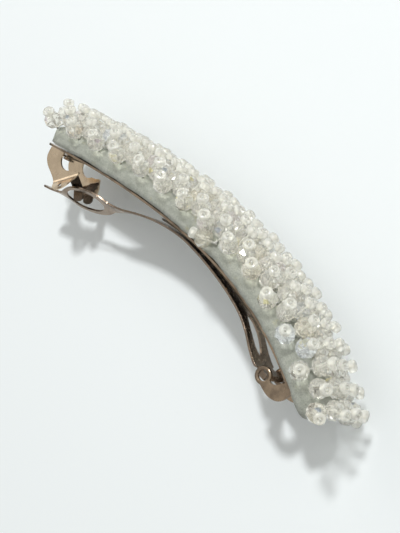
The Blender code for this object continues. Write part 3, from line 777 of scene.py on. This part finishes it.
def rolled_ring(radius, tube, stretch, sides, steps):
    """A ring about Z with a round or stretched section."""
    bm = bmesh.new()
    section = circle(Vector((radius, 0, 0)), tube, sides)
    verts = [bm.verts.new((point.x, 0, point.y * stretch)) for point in section]
    edges = [bm.edges.new((a, b)) for a, b in zip(verts, verts[1:] + verts[:1])]
    bmesh.ops.spin(bm, geom=verts + edges, cent=(0, 0, 0), axis=(0, 0, 1), angle=2 * math.pi, steps=steps,
                   use_merge=True)
    bmesh.ops.recalc_face_normals(bm, faces=bm.faces)
    return bm


def seed_shape():
    """A small rounded bead of radius 1 with a hole down its middle."""
    return rolled_ring(0.66, 0.38, 1.7, 8, 12)


def facet_place(face):
    """Where a facet sits on its shape. Facets taken in this order get the same tints in each run."""
    return [round(value, 3) for value in face.calc_center_median()]


def add_shape(target, shape, matrix, finish, tint, chance=None):
    """Copies a shape into target with its place, material and tint. With chance, a few facets get a painted
    glint: a bright or dark reflection colour.
    """
    layer = target.loops.layers.float_color["tint"]
    fresh = {vert: target.verts.new(matrix @ vert.co) for vert in shape.verts}
    for face in sorted(shape.faces, key=facet_place):
        made = target.faces.new([fresh[vert] for vert in face.verts])
        made.material_index = finish
        made.smooth = finish != 0
        colour = tint
        # A few facets get a painted glint colour instead of the bead's tint.
        if chance and chance.random() < PAINTED_GLINT_SHARE:
            colour = pick(PAINTED_FACET_GLINTS, chance)
        for loop in made.loops:
            loop[layer] = (*colour, 1)


def thread_shape():
    bm = bmesh.new()
    bmesh.ops.create_cone(bm, cap_ends=True, segments=6, radius1=1, radius2=1, depth=1)
    bmesh.ops.translate(bm, verts=bm.verts, vec=(0, 0, 0.5))
    return bm


TINTS = (((0.94, 0.92, 0.85), 12), ((0.95, 0.91, 0.80), 2), ((0.92, 0.94, 0.95), 1), ((0.97, 0.92, 0.89), 1))
# painted glints: facet colours that stand in for the bright flashes and dark reflections in the crystals
PAINTED_FACET_GLINTS = (((1.0, 0.91, 0.45), 3), ((0.45, 0.52, 0.64), 2), ((1.0, 0.80, 0.60), 1), ((0.30, 0.28, 0.24), 4),
           ((0.80, 0.68, 0.74), 1))
PAINTED_GLINT_SHARE = 0.04
WHITE = (1, 1, 1)


def pick(weighted, chance):
    return chance.choices([colour for colour, _ in weighted], [weight for _, weight in weighted])[0]


def bead_rows():
    chance = random.Random(BEAD_SEED)
    stems = stem_starts()
    stems = [(row, foot, way) for (row, foot, _), way in zip(stems, settle(stems))]
    crystal, seed, thread = crystal_shape(), seed_shape(), thread_shape()
    for row, x, first, last in row_places():
        if row == STRAY_ROW:
            last = STRAY_OFFSET
            stems.append((row, stem_foot(x, STRAY_OFFSET)[0], STRAY_WAY))
        bm = bmesh.new()
        bm.loops.layers.float_color.new("tint")
        for of_row, foot, way in stems:
            if of_row == row:
                add_stem(bm, foot, way, (crystal, seed, thread), chance)
        add_row_thread(bm, x, first, last, thread)
        name = f"bead_row_{row + 1:02d}"
        beads = finish_mesh(bm, name + "_beads", CRYSTAL, SEED, THREAD, smooth=False, recalc=False)
        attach(beads, "clip_frame")
        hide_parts(name)


def add_stem(bm, foot, way, shapes, chance):
    crystal, seed, thread = shapes
    turn = Vector((0, 0, 1)).rotation_difference(Vector(way)).to_matrix().to_4x4()
    base = Matrix.Translation(foot) @ turn
    size = CRYSTAL_RADIUS * chance.uniform(0.95, 1.03)
    spin = Matrix.Rotation(chance.uniform(0, math.pi), 4, "Z")
    tilt = Matrix.Rotation(chance.uniform(-0.12, 0.12), 4, "X")
    place = base @ Matrix.Translation((0, 0, STEM_STANDOFF)) @ spin @ tilt @ Matrix.Scale(size, 4)
    add_shape(bm, crystal, place, 0, pick(TINTS, chance), chance)
    size = SEED_RADIUS * chance.uniform(0.92, 1.06)
    tilt = Matrix.Rotation(chance.uniform(-0.35, 0.35), 4, "X")
    spin = Matrix.Rotation(chance.uniform(0, math.pi), 4, "Z")
    place = base @ Matrix.Translation((0, 0, STEM_STANDOFF + SEED_AT)) @ spin @ tilt @ Matrix.Scale(size, 4)
    add_shape(bm, seed, place, 1, SEED_TINT)
    length = STEM_STANDOFF + SEED_AT + 0.55 * SEED_RADIUS + THREAD_ROOT
    stretch = Matrix.Diagonal((THREAD_RADIUS, THREAD_RADIUS, length, 1))
    add_shape(bm, thread, base @ Matrix.Translation((0, 0, -THREAD_ROOT)) @ stretch, 2, WHITE)


def add_row_thread(bm, x, first, last, thread):
    offsets = np.linspace(first, last, 12)
    feet = [stem_foot(x, offset)[0] for offset in offsets]
    for start, end in zip(feet, feet[1:]):
        run = end - start
        turn = Vector((0, 0, 1)).rotation_difference(run).to_matrix().to_4x4()
        stretch = Matrix.Diagonal((THREAD_RADIUS, THREAD_RADIUS, run.length, 1))
        add_shape(bm, thread, Matrix.Translation(start) @ turn @ stretch, 2, WHITE)


def dress_cad_nodes():
    # The backing and the wadding take the painted-shade copy of the felt.
    for name, finish in (("clasp_saddle", BRONZE), ("clasp_rivet", BRONZE), ("backing_felt", SHADED_FELT),
                         ("wadding_core", SHADED_FELT)):
        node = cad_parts[name]
        node.data.materials.clear()
        node.data.materials.append(finish)


# Floor, light and camera

def stage():
    bm = bmesh.new()
    bmesh.ops.create_grid(bm, x_segments=1, y_segments=1, size=1.5)
    nodes = Nodes("pale_table")
    nodes.set(Roughness=0.55, Specular_IOR_Level=0.3)
    nodes.set(Base_Color=(0.84, 0.865, 0.865, 1))
    floor = finish_mesh(bm, "floor", nodes.material, smooth=False)


ROOM = ((0.0, (0.05, 0.05, 0.05)), (0.35, (0.16, 0.165, 0.165)), (0.65, (0.86, 0.875, 0.86)),
        (1.0, (0.95, 0.96, 0.94)))
ROOM_STRENGTH = 0.72
LIT_SPOT = (0, 0, 0.01)
LAMP_WAY = (-2.5, 14.2, 19.5)
WINDOW_WAY = (-1.0, 0.1, 0.46)


def area_light(name, direction, distance, size, power, colour):
    light = bpy.data.lights.new(name, "AREA")
    light.shape = "DISK"
    light.size = size
    light.energy = power
    light.color = colour
    lamp = bpy.data.objects.new(name, light)
    way = Vector(direction).normalized()
    lamp.location = Vector(LIT_SPOT) + way * distance
    lamp.rotation_euler = way.to_track_quat("Z", "Y").to_euler()
    bpy.context.scene.collection.objects.link(lamp)


def lights():
    """A lamp high on the beaded side, a window at the clasp's end and a pale room, dim near the horizon."""
    world = bpy.data.worlds.new("room")
    world.use_nodes = True
    tree = world.node_tree
    place = tree.nodes.new("ShaderNodeTexCoord")
    height = tree.nodes.new("ShaderNodeSeparateXYZ")
    tree.links.new(place.outputs["Generated"], height.inputs[0])
    ramp = tree.nodes.new("ShaderNodeValToRGB")
    stops = ramp.color_ramp.elements
    stops.new(0.35)
    stops.new(0.65)
    for stop, (position, colour) in zip(stops, ROOM):
        stop.position = position
        stop.color = (*colour, 1)
    tree.links.new(height.outputs["Z"], ramp.inputs["Fac"])
    background = tree.nodes["Background"]
    tree.links.new(ramp.outputs["Color"], background.inputs["Color"])
    background.inputs["Strength"].default_value = ROOM_STRENGTH
    bpy.context.scene.world = world
    bpy.context.scene.view_settings.view_transform = "Standard"
    area_light("side_window", WINDOW_WAY, 1.2, 0.7, 1.6, (1.0, 0.99, 0.97))
    area_light("lamp", LAMP_WAY, 1.0, 0.1, 6.6, (0.96, 0.985, 1.0))


CAMERA_RIGHT = (0.59571812, 0.59494869, -0.53958872)
CAMERA_DOWN = (0.6304033, -0.76262618, -0.14488956)
CAMERA_AIM = (1.6 * MM, -1.4 * MM, 4.0 * MM)
CAMERA_OFFSET = (-4.11 * MM, -5.45 * MM, 222 * MM)
CAMERA_LENS = 97.2


def camera():
    """Looks down on the clip from the hinge side, turned so that the bar runs down to the right."""
    lens = bpy.data.cameras.new("camera")
    lens.sensor_fit = "HORIZONTAL"
    lens.sensor_width = 36
    lens.lens = CAMERA_LENS
    right = Vector(CAMERA_RIGHT).normalized()
    down = Vector(CAMERA_DOWN)
    down = (down - right * down.dot(right)).normalized()
    forward = right.cross(down)
    aside, below, ahead = CAMERA_OFFSET
    spot = HOME + Vector(CAMERA_AIM) - (right * aside + down * below + forward * ahead)
    axes = Matrix((right, -down, -forward)).transposed().to_4x4()
    made = bpy.data.objects.new("camera", lens)
    made.matrix_world = Matrix.Translation(spot) @ axes
    bpy.context.scene.collection.objects.link(made)
    bpy.context.scene.camera = made


camera()
lights()
stage()
base_bar()
for jaw_side, jaw_name in ((1, "near_jaw"), (-1, "far_jaw")):
    jaw(jaw_side, jaw_name)
closing_arm()
tension_spring()
felt_cover()
bead_rows()
dress_cad_nodes()
